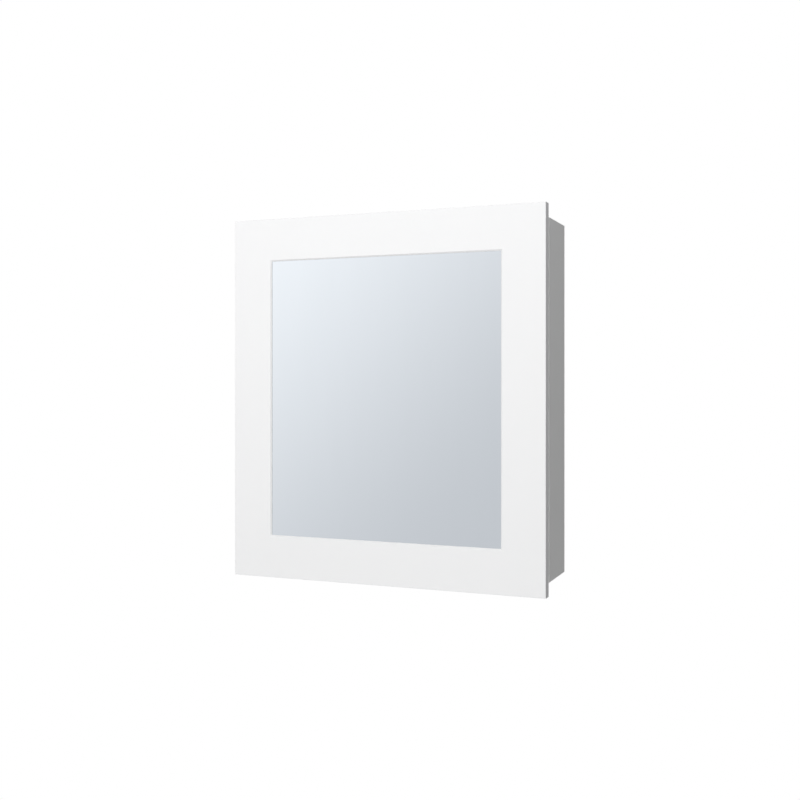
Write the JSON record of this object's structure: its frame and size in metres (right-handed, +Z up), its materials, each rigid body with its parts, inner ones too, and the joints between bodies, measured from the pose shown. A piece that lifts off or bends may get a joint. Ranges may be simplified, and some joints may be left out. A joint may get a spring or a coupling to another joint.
{
  "type": "medicine cabinet",
  "caption": "Shallow white wall cabinet with one mirrored, flat-framed door on a continuous hinge, glass shelves and a magnetic catch.",
  "frame": {"origin": "centre of the four wall screw holes, on the wall plane", "axes": "+Z up, +Y into the wall so that the door faces -Y, +X to the right as seen from the room"},
  "size_m": [0.5547, 0.1232, 0.61],
  "materials": {
    "white_lacquer": "satin white lacquer on MDF",
    "white_melamine": "white melamine-faced chipboard",
    "white_edging": "white PVC edging",
    "foam": "white foam tape",
    "white_hardboard": "white-faced hardboard",
    "raw_board": "raw MDF",
    "hardboard": "raw brown hardboard",
    "beech": "fluted beech",
    "mirror": "silvered float glass",
    "clear_glass": "clear float glass, polished edges",
    "nickel_plated_steel": "nickel-plated",
    "zinc_steel": "zinc-plated",
    "white_plastic": "moulded white plastic",
    "ferrite": "sintered ferrite",
    "clear_soft": "clear soft pad"
  },
  "bodies": {
    "case": {"side_panel_left": "white_melamine", "side_panel_right": "white_melamine", "top_panel": "white_melamine", "bottom_panel": "white_melamine", "edge_band_left": "white_edging", "edge_band_right": "white_edging", "edge_band_top": "white_edging", "edge_band_bottom": "white_edging", "back_panel": "white_hardboard", "hanging_rail_upper": "raw_board", "hanging_rail_lower": "raw_board", "panel_dowels": "beech", "rail_dowels": "beech", "cam_bolts": "zinc_steel", "cam_locks": "zinc_steel", "shelf_lower": "clear_glass", "shelf_upper": "clear_glass", "shelf_pins": "nickel_plated_steel", "shelf_pads": "clear_soft", "hinge_case_leaf": "nickel_plated_steel", "hinge_pin": "nickel_plated_steel", "hinge_case_screws": "nickel_plated_steel", "catch_housing": "white_plastic", "catch_magnet": "ferrite", "catch_pole_plates": "zinc_steel", "catch_screws": "nickel_plated_steel"},
    "door": {"door_frame": "white_lacquer", "mirror_gasket": "foam", "mirror_glass": "mirror", "mirror_backing": "hardboard", "mirror_clips": "zinc_steel", "clip_screws": "zinc_steel", "hinge_door_leaf": "nickel_plated_steel", "hinge_door_screws": "nickel_plated_steel", "strike_plate": "nickel_plated_steel", "strike_screw": "nickel_plated_steel", "door_bumpers": "clear_soft"}
  },
  "joints": [
    {"name": "door_swing", "type": "hinge", "parent": "case", "child": "door", "pos_m": [-0.27755, -0.1041, 0], "axis": [0, 0, -1], "range_deg": [0, 170]}
  ]
}
